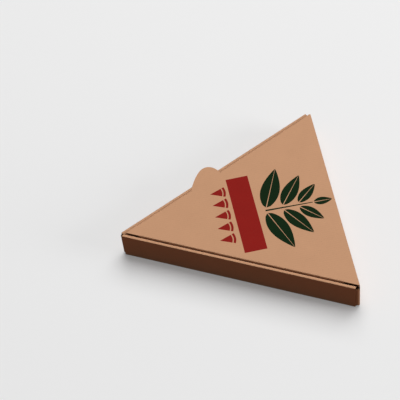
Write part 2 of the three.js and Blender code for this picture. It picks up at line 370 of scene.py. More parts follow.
class Sheet:
    """A die-cut blank that is drawn flat, thickened and folded."""

    SHARP_DEGREES = 32
    INNER_MAP_SHIFT = 1.0  # between both liners' coordinates, so that their fibres differ
    TURNED_BACK = 0.2  # below this length a sum of two rim directions points nowhere
    MITRE_LIMIT = 0.4  # a mitred step grows by no more than one over this

    def __init__(self, name: str, board: float, root: Callable[[Vector], Vector], joined_at: float) -> None:
        """Starts an empty blank.

        Args:
            name: the finished object's name.
            board: thickness of the board.
            root: takes a point of the root panel's space to its place in the carton.
            joined_at: the blank's y on the lid's crease, where the board is pressed shut and shows no flutes.
        """
        self.name = name
        self.board = board
        self.root = root
        self.joined_at = joined_at
        self.flutes = Flutes()
        self.mesh = bmesh.new()
        self.panels: list[Panel] = []
        self.panel_layer = self.mesh.faces.layers.int.new("panel")
        self.fold_layer = self.mesh.verts.layers.float.new("fold")
        self._verts: dict[Key, Vert] = {}
        self._places: dict[Key, Panel] = {}
        self._inwards: dict[Key, Vector] = {}
        self._owners: dict[Vert, Panel] = {}

    @staticmethod
    def _key(x: float, y: float) -> Key:
        """A place in the blank, to the nearest micrometre."""
        return round(x / MICRON), round(y / MICRON)

    def _vert(self, point: Point) -> Vert:
        """The vertex at a place of the blank, made once and shared by the panels that meet there.

        Args:
            point: the place.

        Returns:
            The vertex.
        """
        key = self._key(*point)
        if key not in self._verts:
            self._verts[key] = self.mesh.verts.new((point[0], point[1], 0))
        return self._verts[key]

    def _loop(self, points: Iterable[Point]) -> Edges:
        """Edges round a closed outline, made once and shared by the panels on both sides.

        Args:
            points: corners of the outline.

        Returns:
            The edges, in order.
        """
        verts = [self._vert(point) for point in points]
        edges = []
        for one, other in zip(verts, verts[1:] + verts[:1]):
            edges.append(self.mesh.edges.get((one, other)) or self.mesh.edges.new((one, other)))
        return edges

    def _fill(self, edges: Edges, panel: int, finish: Finish) -> None:
        """Fills an outline, less any outline inside it, as part of a panel.

        Args:
            edges: edges of the outlines.
            panel: index of the panel.
            finish: what its outer side shows.
        """
        made = bmesh.ops.triangle_fill(self.mesh, use_beauty=True, edges=edges, normal=UPWARDS)
        for item in made["geom"]:
            if isinstance(item, Face):
                item[self.panel_layer] = panel
                item.material_index = finish.value

    def add(
        self,
        panel: Panel,
        outline: list[Point],
        holes: Iterable[list[Point]] = (),
        prints: Iterable[tuple[Finish, list[Point]]] = (),
    ) -> Panel:
        """Adds a panel to the blank.

        Args:
            panel: the panel and its crease.
            outline: its corners, with both ends of each crease that it carries.
            holes: outlines cut right through it.
            prints: inked shapes on its outer liner, none of which touch.

        Returns:
            The panel.
        """
        index = len(self.panels)
        self.panels.append(panel)
        edges = self._loop(outline)
        for hole in holes:
            edges += self._loop(hole)
        inked = [(finish, self._loop(shape)) for finish, shape in prints]
        for _, shape_edges in inked:
            edges += shape_edges
        self._fill(edges, index, Finish.LINER)
        for finish, shape_edges in inked:
            self._fill(shape_edges, index, finish)
        return panel

    def _score(self) -> None:
        """Cuts every panel along the lines on which its fold turns."""
        for index, panel in enumerate(self.panels):
            crease = panel.crease
            for score in panel.scores() if crease else ():
                geom = whole([face for face in self.mesh.faces if face[self.panel_layer] == index])
                line = crease.start + crease.away * score
                plane = {"plane_co": (*line, 0), "plane_no": (*crease.away, 0)}
                bmesh.ops.bisect_plane(self.mesh, geom=geom, dist=MICRON, **plane)

    def _note_panels(self) -> None:
        """Notes the panel of every place of the flat sheet; on a crease it is the parent."""
        for vert in self.mesh.verts:
            indices = {face[self.panel_layer] for face in vert.link_faces}
            self._places[self._key(*vert.co.xy)] = self.panels[min(indices)]

    def _note_rim(self) -> None:
        """Notes for each place on a cut edge the step that goes one unit deep into the sheet."""
        normals: dict[Key, list[Vector]] = {}
        for edge in self.mesh.edges:
            if len(edge.link_faces) != 1:
                continue
            one, other = (vert.co.xy for vert in edge.verts)
            inwards = Vector((one.y - other.y, other.x - one.x)).normalized()
            middle = edge.link_faces[0].calc_center_median().xy
            if inwards.dot(middle - one) < 0:
                inwards.negate()
            for vert in edge.verts:
                normals.setdefault(self._key(*vert.co.xy), []).append(inwards)
        for key, found in normals.items():
            total = sum(found, Vector((0, 0)))
            if total.length < self.TURNED_BACK:
                total = found[0].copy()
            total.normalize()
            self._inwards[key] = total / max(total.dot(found[0]), self.MITRE_LIMIT)

    def _rim_loops(self) -> list[Loop]:
        """The cut edges as closed loops of corners, each with the panel of the edge that leaves it.

        Returns:
            The loops.
        """
        rim = {edge for edge in self.mesh.edges if len(edge.link_faces) == 1}
        loops = []
        while rim:
            edge = min(rim, key=lambda e: e.index)
            first = vert = edge.verts[0]
            loop = []
            while edge is not None:
                rim.discard(edge)
                panel = self.panels[edge.link_faces[0][self.panel_layer]]
                loop.append((vert.co.xy.copy(), panel))
                vert = edge.other_vert(vert)
                edge = next((e for e in vert.link_edges if e in rim), None) if vert != first else None
            loops.append(loop)
        return loops

    def _add_board(self) -> list[Face]:
        """Gives the flat sheet its board, with lines along its edges where the liners end.

        Returns:
            The upright faces along every edge.
        """
        mesh = self.mesh
        made = bmesh.ops.extrude_face_region(mesh, geom=mesh.faces[:], use_keep_orig=True)
        lifted = [item for item in made["geom"] if isinstance(item, Vert)]
        bmesh.ops.translate(mesh, vec=(0, 0, self.board), verts=lifted)
        rim = [face for face in mesh.faces if len({vert.co.z for vert in face.verts}) > 1]
        for depth in (self.flutes.liner, self.board - self.flutes.liner):
            plane = {"plane_co": (0, 0, depth), "plane_no": UPWARDS}
            cut = bmesh.ops.bisect_plane(mesh, geom=whole(rim), dist=MICRON, **plane)["geom"]
            found = dict.fromkeys(item for item in [*rim, *cut] if isinstance(item, Face))
            rim = [face for face in found if face.is_valid]
        return rim

    def _thicken(self) -> None:
        """Gives the sheet its board, with a recess between the liners at every edge but the pressed one."""
        rim = self._add_board()
        pressed = {face for face in rim if all(abs(v.co.y - self.joined_at) < MICRON for v in face.verts)}
        fluted = set(rim) - pressed
        low, high = self.flutes.liner - MICRON, self.board - self.flutes.liner + MICRON
        middle = [face for face in rim if face in fluted and all(low < v.co.z < high for v in face.verts)]
        for face in self.mesh.faces:
            if face in fluted:
                face.material_index = Finish.CUT_EDGE.value
            elif face in pressed or all(v.co.z > self.board / 2 for v in face.verts):
                face.material_index = Finish.LINER.value
        recessed = bmesh.ops.extrude_face_region(self.mesh, geom=whole(middle))["geom"]
        self._owners = {vert: self._places[self._key(*vert.co.xy)] for vert in self.mesh.verts}
        for vert in [item for item in recessed if isinstance(item, Vert)]:
            vert.co.xy += self._inwards[self._key(*vert.co.xy)] * self.flutes.recess

    def _flute_ring(self, loop: Loop) -> list[tuple[Vector, Vector, Panel]]:
        """Finds the corners of the corrugated paper along one closed cut edge.

        Args:
            loop: corners of the edge.

        Returns:
            Each corner's place, its step into the sheet and its panel.
        """
        ring = []
        for (start, panel), (end, _) in zip(loop, loop[1:] + loop[:1]):
            first, last = (self._inwards[self._key(*place)] for place in (start, end))
            count = max(1, math.ceil(abs(end.x - start.x) / self.flutes.step))
            for index in range(count):
                share = index / count
                ring.append((start.lerp(end, share), first.lerp(last, share), panel))
        return ring

    def _add_flutes(self, loops: list[Loop]) -> None:
        """Adds the corrugated paper behind every cut edge as a thin closed band.

        Args:
            loops: the cut edges.
        """
        flutes = self.flutes
        near, far = flutes.first_inset * flutes.recess, flutes.last_inset * flutes.recess
        section = [(near, -0.5), (far, -0.5), (far, 0.5), (near, 0.5)]
        for loop in loops:
            rings = []
            for corner, inwards, panel in self._flute_ring(loop):
                middle = flutes.depth(corner.x, self.board)
                flat = [(corner + inwards * inset, middle + flutes.paper * lift) for inset, lift in section]
                rings.append([self.mesh.verts.new((*place, depth)) for place, depth in flat])
                self._owners.update(dict.fromkeys(rings[-1], panel))
            for one, other in zip(rings, rings[1:] + rings[:1]):
                for start, end in zip(range(-1, 3), range(4)):
                    face = self.mesh.faces.new((one[start], one[end], other[end], other[start]))
                    face.material_index = Finish.CUT_EDGE.value

    def finish(self, materials: list[Material]) -> bpy.types.Object:
        """Scores, thickens and folds the blank, and makes it an object.

        Args:
            materials: one for each finish, in the order of the Finish enum.

        Returns:
            The object, in place.
        """
        self._score()
        self._note_panels()
        self._note_rim()
        loops = self._rim_loops()
        self._thicken()
        self._add_flutes(loops)
        mesh = self.mesh
        bmesh.ops.recalc_face_normals(mesh, faces=mesh.faces[:])
        sheet_map = mesh.loops.layers.uv.new("sheet")
        for face in mesh.faces:
            inner = all(v.co.z > self.board / 2 for v in face.verts)
            for loop in face.loops:
                loop[sheet_map].uv = loop.vert.co.xy + Vector((self.INNER_MAP_SHIFT * inner, 0.0))
        for vert in mesh.verts:
            panel = self._owners[vert]
            # the fold share is also the mask for the painted shade on the folds in the board's material
            vert[self.fold_layer] = panel.fold_share(vert.co)
            vert.co = self.root(panel.fold(vert.co))
        bmesh.ops.recalc_face_normals(mesh, faces=mesh.faces[:])
        LOG.info("%s: %d edges not closed", self.name, sum(not edge.is_manifold for edge in mesh.edges))
        data = bpy.data.meshes.new(self.name)
        mesh.to_mesh(data)
        mesh.free()
        for material in materials:
            data.materials.append(material)
        data.shade_smooth()
        data.set_sharp_from_angle(angle=math.radians(self.SHARP_DEGREES))
        return add_object(self.name, data)


@dataclass
class Tray:
    """The base, the single rear wall, the rolled side walls and the flaps tucked into them."""

    sizes: CartonSizes
    end_at_rear: float = 5.8 * MM
    flap_bottom: float = 1.7 * MM
    flap_top: float = 27.8 * MM
    flap_length: float = 28 * MM
    flap_taper: float = 4 * MM
    inner_clear_of_tip: float = 3 * MM
    inner_taper: float = 2.5 * MM
    lock_length: float = 26 * MM
    lock_taper: float = 1 * MM
    lock_bottom: float = 0.3 * MM
    lock_from_tip: float = 78 * MM
    lock_from_rear: float = 62 * MM
    roll_fold: float = 1.3 * MM
    inner_roll_fold: float = 1.9 * MM
    crisp_edge: float = 0.4 * MM
    soft_edge: float = 1.0 * MM

    def _rear_head(self) -> float:
        """The blank's y at the top of the rear wall, on the lid's crease."""
        return self.sizes.rear_y - self.sizes.base_fold + self._climb(self.sizes.wall_top)

    def _base_run(self) -> float:
        """Flat length that goes into a fold at the base."""
        return math.radians(90) * (self.sizes.base_fold - self.sizes.board / 2)

    def _climb(self, height: float) -> float:
        """Distance in the blank from a base fold's start to a height on the wall."""
        return self._base_run() + height - self.sizes.base_fold

    def _wall_point(self, along: float, climb: float, side: Side) -> Point:
        """A point of a side wall in the blank."""
        return self.sizes.side_point(along, climb - self.sizes.base_fold, side)

    def _crease(self, start: Point, away: Vector, radius: float, degrees: float, crisp: float) -> Crease:
        """A crease of this sheet."""
        return Crease(Vector(start), away, radius, math.radians(degrees), self.sizes.board, crisp)

    def _corner_tangent(self, inner_angle: float) -> float:
        """From the corner where two faces would meet to where the round fold between them starts."""
        return self.sizes.corner_fold / math.tan(inner_angle / 2)

    def _rear_angle(self) -> float:
        """The angle between the rear wall and a side wall, inside the box."""
        return (math.pi - 2 * self.sizes.half_angle) / 2

    def _rear_half(self) -> float:
        """Half the flat length of the rear wall, to where its corner folds start."""
        corner = self.sizes.rear / 2 - self.sizes.flap_inset / self.sizes.cos_half
        return corner - self._corner_tangent(self._rear_angle())

    def _tip_start(self) -> float:
        """How far from the tip the left wall's corner fold starts."""
        angle = 2 * self.sizes.half_angle
        return self.sizes.flap_inset / math.sin(angle) + self._corner_tangent(angle)

    def _wall_end(self) -> float:
        """How far from the tip a side wall ends at the rear."""
        return self.sizes.side - self.end_at_rear

    def _lock_centres(self) -> tuple[float, float]:
        """Places of the lock tabs along a side wall."""
        return self.lock_from_tip, self.sizes.side - self.lock_from_rear

    def _slot(self, centre: float, side: Side) -> list[Point]:
        """The slot that a lock tab stands in.

        Args:
            centre: the tab's place along the wall.
            side: which wall.

        Returns:
            The slot's corners.
        """
        sizes = self.sizes
        near, far = (centre + hand * (self.lock_length / 2 + sizes.seam) for hand in (-1, 1))
        inner = -2 * sizes.roll_radius - sizes.seam
        outer = -2 * sizes.roll_radius + sizes.board + sizes.seam
        corners = [(near, outer), (far, outer), (far, inner), (near, inner)]
        return [sizes.side_point(*corner, side) for corner in corners]

    def _add_base(self, sheet: Sheet) -> Panel:
        """Adds the base, with the slots for the lock tabs.

        Args:
            sheet: the blank.

        Returns:
            The base, which is the sheet's root.
        """
        half, rear = self._rear_half(), self.sizes.rear_y - self.sizes.base_fold
        start, end = self._tip_start(), self._wall_end()
        outline = [
            (-half, rear),
            self._wall_point(end, 0, Side.LEFT),
            self._wall_point(start, 0, Side.LEFT),
            self._wall_point(start, 0, Side.RIGHT),
            self._wall_point(end, 0, Side.RIGHT),
            (half, rear),
        ]
        slots = [self._slot(centre, side) for side in Side for centre in self._lock_centres()]
        return sheet.add(Panel("base"), outline, holes=slots)

    def _add_side_wall(self, sheet: Sheet, base: Panel, side: Side) -> Panel:
        """Adds a side wall's outer panel and its rolled-over inner panel.

        Args:
            sheet: the blank.
            base: the panel that it stands on.
            side: which wall.

        Returns:
            The outer panel.
        """
        sizes = self.sizes
        start, end = self._tip_start(), self._wall_end()
        outwards = sizes.side_outwards(side)
        roll_start = self._climb(sizes.wall_top - self.roll_fold)
        outer = Panel(
            f"{side.name.lower()}_outer",
            self._crease(self._wall_point(0, 0, side), outwards, sizes.base_fold, 90, self.soft_edge),
            base,
        )
        corners = [(start, 0), (end, 0), (end, roll_start), (start, roll_start)]
        if side is Side.LEFT:
            corners += [(start, self._climb(z)) for z in (self.flap_top, self.flap_bottom)]
        sheet.add(outer, [self._wall_point(*corner, side) for corner in corners])
        up_point = self._wall_point(0, roll_start, side)
        up = self._crease(up_point, outwards, self.roll_fold, 90, self.crisp_edge)
        top = Panel(f"{side.name.lower()}_top", up, outer)
        over_start = roll_start + up.run + 2 * sizes.roll_radius - self.roll_fold - self.inner_roll_fold
        corners = [(start, roll_start), (end, roll_start), (end, over_start), (start, over_start)]
        sheet.add(top, [self._wall_point(*corner, side) for corner in corners])
        over_point = self._wall_point(0, over_start, side)
        over = self._crease(over_point, outwards, self.inner_roll_fold, 90, self.inner_roll_fold)
        inner = Panel(f"{side.name.lower()}_inner", over, top)
        roll_end = over_start + over.run
        bottom = roll_end + sizes.wall_top - self.inner_roll_fold - sizes.board - sizes.seam
        near_tip = start + self.inner_clear_of_tip
        lower = bottom + sizes.board + sizes.seam - self.lock_bottom
        corners = [(start, over_start), (end, over_start), (end, roll_end), (end - self.inner_taper, bottom)]
        for centre in reversed(self._lock_centres()):
            reach = self.lock_length / 2
            corners += [(centre + reach, bottom), (centre + reach - self.lock_taper, lower)]
            corners += [(centre - reach + self.lock_taper, lower), (centre - reach, bottom)]
        corners += [(near_tip + self.inner_taper, bottom), (near_tip, roll_end)]
        sheet.add(inner, [self._wall_point(*corner, side) for corner in corners])
        return outer

    def _add_tip_flap(self, sheet: Sheet, wall: Panel) -> None:
        """Adds the flap that goes round the tip from the left wall into the right one.

        Args:
            sheet: the blank.
            wall: the left wall's outer panel.
        """
        start = self._tip_start()
        angle = 2 * self.sizes.half_angle
        away = Vector(self._wall_point(0, 0, Side.LEFT)) - Vector(self._wall_point(1, 0, Side.LEFT))
        turn = 180 - math.degrees(angle)
        root = self._wall_point(start, 0, Side.LEFT)
        crease = self._crease(root, away, self.sizes.corner_fold, turn, self.sizes.corner_fold)
        end = start - crease.run - self.flap_length + self._corner_tangent(angle)
        bottom, top = self._climb(self.flap_bottom), self._climb(self.flap_top)
        corners = [(start, bottom), (start, top)]
        corners += [(end, top - self.flap_taper), (end, bottom + self.flap_taper)]
        flap = Panel("tip_flap", crease, wall)
        sheet.add(flap, [self._wall_point(*corner, Side.LEFT) for corner in corners])

    def _add_rear_wall(self, sheet: Sheet, base: Panel) -> None:
        """Adds the rear wall and the flap at each of its ends.

        Args:
            sheet: the blank.
            base: the panel that it stands on.
        """
        sizes = self.sizes
        half, foot = self._rear_half(), sizes.rear_y - sizes.base_fold
        bottom, top = foot + self._climb(self.flap_bottom), foot + self._climb(self.flap_top)
        crease = self._crease((0, foot), Vector((0, 1)), sizes.base_fold, 90, self.soft_edge)
        wall = Panel("rear_wall", crease, base)
        head = self._rear_head()
        outline = [(-half, foot), (half, foot), (half, bottom), (half, top), (half, head)]
        outline += [(-half, head), (-half, top), (-half, bottom)]
        sheet.add(wall, outline)
        angle = self._rear_angle()
        for side in Side:
            away = Vector((side.value, 0))
            turn = 180 - math.degrees(angle)
            crease = self._crease((side.value * half, foot), away, sizes.corner_fold, turn, sizes.corner_fold)
            reach = half + crease.run + self.flap_length - self._corner_tangent(angle)
            corners = [(half, bottom), (reach, bottom + self.flap_taper)]
            corners += [(reach, top - self.flap_taper), (half, top)]
            flap = Panel(f"{side.name.lower()}_rear_flap", crease, wall)
            sheet.add(flap, [(side.value * x, y) for x, y in corners])

    def build(self, materials: list[Material]) -> bpy.types.Object:
        """Makes the folded tray.

        Args:
            materials: one for each finish.

        Returns:
            The finished object.
        """
        sheet = Sheet("kraft_tray", self.sizes.board, lambda point: point, self._rear_head())
        base = self._add_base(sheet)
        self._add_rear_wall(sheet, base)
        left_wall = self._add_side_wall(sheet, base, Side.LEFT)
        self._add_side_wall(sheet, base, Side.RIGHT)
        self._add_tip_flap(sheet, left_wall)
        return sheet.finish(materials)


@dataclass
class Lid:
    """The lid panel with its tuck flaps and thumb tab, and the print on it."""

    sizes: CartonSizes
    crease_gap: float = 0.05 * MM
    tuck_fold: float = 1.6 * MM
    tuck_depth: float = 20 * MM
    tuck_lean: float = 4.0
    tuck_from_tip: float = 22 * MM
    tuck_mitre_at_tip: float = 16 * MM
    tuck_from_rear: float = 18 * MM
    tuck_mitre_at_rear: float = 50 * MM
    tab_centre: float = 108.4 * MM
    tab_width: float = 36.8 * MM
    tab_reach: float = 15.3 * MM
    tab_skew: float = 7.1 * MM
    tab_near_pull: float = 0.425
    tab_far_pull: float = 0.75
    kerf: float = 0.15 * MM
    crisp_edge: float = 0.6 * MM
    curve_steps: int = 10

    @property
    def hinge_z(self) -> float:
        """Height at which the lid's sheet starts, just above the rear wall."""
        return self.sizes.wall_top + self.crease_gap

    @property
    def rear_fold(self) -> float:
        """Outer radius of the fold along the rear wall."""
        return self.sizes.height - self.hinge_z

    def _crease(self, start: Point, away: Vector, radius: float, degrees: float) -> Crease:
        """A crease of this sheet."""
        return Crease(Vector(start), away, radius, math.radians(degrees), self.sizes.board, self.crisp_edge)

    def _rear_crease(self) -> Crease:
        """The crease between the rear wall and the lid."""
        return self._crease((0, 0), Vector((0, 1)), self.rear_fold, 90)

    def blank(self, point: Point) -> Point:
        """The place in the blank of a point on top of the closed lid, given in plan."""
        x, y = point
        return x, self._rear_crease().run + self.sizes.rear_y - self.rear_fold - y

    def _place_root(self, point: Vector) -> Vector:
        """Takes a point of the sheet, before its rear crease, to its place above the rear wall."""
        return Vector((point.x, self.sizes.rear_y - point.z, self.hinge_z + point.y))

    def _side_point(self, along: float, climb: float, side: Side) -> Point:
        """A point in the blank, by its distance from a tuck crease's start."""
        outwards = climb - self.sizes.lid_inset - self.tuck_fold
        return self.blank(self.sizes.side_point(along, outwards, side))

    def _tab_curve(self, kerf: float) -> list[Point]:
        """The thumb tab's cut line, as distance along the side and climb from the tuck crease's start.

        Args:
            kerf: how far outside the tab the line lies.

        Returns:
            The line's points, from the tip's end.
        """
        half, reach = self.tab_width / 2 + kerf, self.tab_reach + kerf
        foot, head = self.tuck_fold, self.tuck_fold + reach
        crown = self.tab_centre + self.tab_skew
        near, far = self.tab_centre - half, self.tab_centre + half
        up, down = (crown - near) / 4, (far - crown) / 2
        rise = [(near, foot), (near + up, foot + self.tab_near_pull * reach), (crown - up, head)]
        fall = [(crown, head), (crown + down, head), (far, foot + self.tab_far_pull * reach), (far, foot)]
        rising = interpolate_bezier(*(Vector(pull) for pull in [*rise, fall[0]]), self.curve_steps)
        falling = interpolate_bezier(*(Vector(pull) for pull in fall), self.curve_steps)
        return [(point.x, point.y) for point in [*rising, *falling[1:]]]

    def _tuck_range(self) -> tuple[float, float]:
        """Both ends of a tuck crease, from the tip."""
        return self.tuck_from_tip, self.sizes.side - self.tuck_from_rear

    def _side_edge(self, side: Side) -> list[Point]:
        """The lid panel's edge along one side, from the rear to the tip, as distance along and climb.

        Args:
            side: which side.

        Returns:
            The edge's points.
        """
        near, far = self._tuck_range()
        edge = [(far, self.tuck_fold), (far, 0)]
        if side is Side.LEFT:
            window = self._tab_curve(self.kerf)
            curve = self._tab_curve(0)
            edge += [(window[-1][0], 0), (curve[-1][0], 0), *reversed(curve)]
            edge += [(curve[0][0], 0), (window[0][0], 0)]
        return edge + [(near, 0), (near, self.tuck_fold)]

    def _add_panel(self, sheet: Sheet, prints: list[tuple[Finish, list[Point]]]) -> Panel:
        """Adds the lid panel, from the rear crease to the tip.

        Args:
            sheet: the blank.
            prints: inked shapes, each with its ink.

        Returns:
            The lid panel.
        """
        sizes = self.sizes
        crease = self._rear_crease()
        half = sizes.rear / 2 - sizes.lid_inset / sizes.cos_half
        rear_corner = (half - self.rear_fold * sizes.sin_half / sizes.cos_half, crease.run)
        tip = self.blank((0, sizes.tip_y + sizes.lid_inset / sizes.sin_half))
        left = [self._side_point(*corner, Side.LEFT) for corner in self._side_edge(Side.LEFT)]
        right = [self._side_point(*corner, Side.RIGHT) for corner in self._side_edge(Side.RIGHT)]
        outline = [(rear_corner[0], 0), rear_corner, *right, tip, *reversed(left)]
        outline += [(-rear_corner[0], rear_corner[1]), (-rear_corner[0], 0)]
        return sheet.add(Panel("lid_panel", crease), outline, prints=prints)

    def _add_tuck(self, sheet: Sheet, panel: Panel, side: Side) -> None:
        """Adds a tuck flap; the left one has the window that the thumb tab leaves.

        Args:
            sheet: the blank.
            panel: the lid panel.
            side: which side.
        """
        sizes = self.sizes
        outwards = Vector((side.value * sizes.cos_half, sizes.sin_half))
        crease = self._crease(self._side_point(0, 0, side), outwards, self.tuck_fold, 90 + self.tuck_lean)
        near, far = self._tuck_range()
        shoulder = crease.run
        drop = sizes.height - self.tuck_fold - sizes.lid_underside + self.tuck_depth
        bottom = shoulder + drop / math.cos(math.radians(self.tuck_lean))
        outline = [(far, 0), (far, shoulder), (far - self.tuck_mitre_at_rear, bottom)]
        outline += [(near + self.tuck_mitre_at_tip, bottom), (near, shoulder), (near, 0)]
        if side is Side.LEFT:
            window = self._tab_curve(self.kerf)
            outline += [(window[0][0], 0), *window, (window[-1][0], 0)]
        flap = Panel(f"{side.name.lower()}_tuck", crease, panel)
        sheet.add(flap, [self._side_point(*corner, side) for corner in outline])

    def build(self, materials: list[Material], prints: "LidPrint") -> bpy.types.Object:
        """Makes the folded lid.

        Args:
            materials: one for each finish.
            prints: the inked shapes on the lid.

        Returns:
            The finished object.
        """
        sheet = Sheet("kraft_lid", self.sizes.board, self._place_root, 0.0)
        shapes = [(finish, [self.blank(point) for point in shape]) for finish, shape in prints.shapes()]
        panel = self._add_panel(sheet, shapes)
        for side in Side:
            self._add_tuck(sheet, panel, side)
        return sheet.finish(materials)


@dataclass(frozen=True)
class LeafPair:
    """Two leaves of the printed sprig, one on each side of its stem."""

    place: float
    length: float
    width: float
    degrees: float


@dataclass(frozen=True)
class LidPrint:
    """The lid's print: a plain bar, a row of slices and a leafy sprig, in plan."""

    bar_centre: Point = (3.2 * MM, -16.6 * MM)
    bar_size: Point = (95.6 * MM, 22.6 * MM)
    skew: float = 1.6
    slice_count: int = 5
    slice_pitch: float = 15 * MM
    slice_row: Point = (1 * MM, -42 * MM)
    slice_size: Point = (10 * MM, 11.5 * MM)
    crust: float = 2.4 * MM
    crust_gap: float = 1.1 * MM
    sprig_foot: Point = (4 * MM, 3 * MM)
    stem_length: float = 48 * MM
    stem_width: float = 2.0 * MM
    vein: float = 0.9 * MM
    leaf_gap: float = 1.6 * MM
    leaf_foot: float = 0.02
    leaf_belly: float = 0.8
    leaf_fullness: float = 0.9
    end_leaf: Point = (19 * MM, 9 * MM)
    leaf_pairs: tuple[LeafPair, ...] = (
        LeafPair(1 * MM, 52 * MM, 19 * MM, 69),
        LeafPair(18 * MM, 42 * MM, 15.5 * MM, 56),
        LeafPair(34 * MM, 29 * MM, 11.5 * MM, 44),
    )
    arc_steps: int = 8
    leaf_steps: int = 14

    def _bar(self) -> list[Point]:
        """The bar's outline.

        Returns:
            Its corners.
        """
        x, y = (size / 2 for size in self.bar_size)
        turn = Matrix.Rotation(math.radians(self.skew), 2)
        corners = [(-x, -y), (x, -y), (x, y), (-x, y)]
        return [tuple(turn @ Vector(corner) + Vector(self.bar_centre)) for corner in corners]

    def _slices(self) -> list[list[Point]]:
        """A row of small slices, each a wedge with a separate curved crust.

        Returns:
            The outlines.
        """
        width, height = self.slice_size
        half_turn = math.atan(width / 2 / height)
        radius = math.hypot(width / 2, height)
        shapes = []
        for index in range(self.slice_count):
            foot_x = self.slice_row[0] + (index - (self.slice_count - 1) / 2) * self.slice_pitch
            foot = Vector((foot_x, self.slice_row[1] - height / 2))

            def arc(distance: float) -> list[Point]:
                angles = [half_turn * (2 * step / self.arc_steps - 1) for step in range(self.arc_steps + 1)]
                return [tuple(foot + Vector((math.sin(a), math.cos(a))) * distance) for a in angles]

            shapes.append([tuple(foot), *arc(radius)])
            crust_start = radius + self.crust_gap
            shapes.append([*arc(crust_start), *reversed(arc(crust_start + self.crust))])
        return shapes

    def _leaf(self, foot: Vector, degrees: float, length: float, width: float) -> list[list[Point]]:
        """Draws a pointed leaf as two halves, with a bare vein between them that narrows to the point.

        Args:
            foot: where the leaf starts.
            degrees: its angle from the stem.
            length: its length.
            width: its width.

        Returns:
            The outlines of both halves.
        """
        turn = Matrix.Rotation(-math.radians(degrees), 2)
        halves = []
        for hand in (-1, 1):
            outline = [(hand * self.vein / 2, self.leaf_foot * length)]
            for step in range(1, self.leaf_steps):
                share = step / self.leaf_steps
                bulge = math.sin(math.pi * share**self.leaf_belly) ** self.leaf_fullness * width / 2
                outline.append((hand * (bulge + self.vein / 4), share * length))
            outline.append((hand * self.vein / 8, length))
            halves.append([tuple(turn @ Vector(point) + foot) for point in outline])
        return halves

    def _sprig(self) -> list[list[Point]]:
        """A stem with pairs of leaves and one leaf at its end.

        Returns:
            The outlines.
        """
        foot = Vector(self.sprig_foot)
        half = self.stem_width / 2
        stem = [(-half, 0), (half, 0), (half / 2, self.stem_length), (-half / 2, self.stem_length)]
        shapes = [[tuple(Vector(point) + foot) for point in stem]]
        for pair in self.leaf_pairs:
            for hand in (-1, 1):
                start = foot + Vector((hand * (half + self.leaf_gap), pair.place))
                shapes += self._leaf(start, hand * pair.degrees, pair.length, pair.width)
        end = foot + Vector((0, self.stem_length + self.leaf_gap / 2))
        return shapes + self._leaf(end, 0, *self.end_leaf)

    def shapes(self) -> list[tuple[Finish, list[Point]]]:
        """Every inked shape, with its ink."""
        red = [(Finish.RED_INK, shape) for shape in [self._bar(), *self._slices()]]
        return red + [(Finish.GREEN_INK, shape) for shape in self._sprig()]


@dataclass(frozen=True)
class Grain:
    """Soft noise over the sheet, turned by an angle and then stretched, or neither."""

    scale: float
    detail: float = 3
    degrees: float = 0
    stretch: Point | None = None


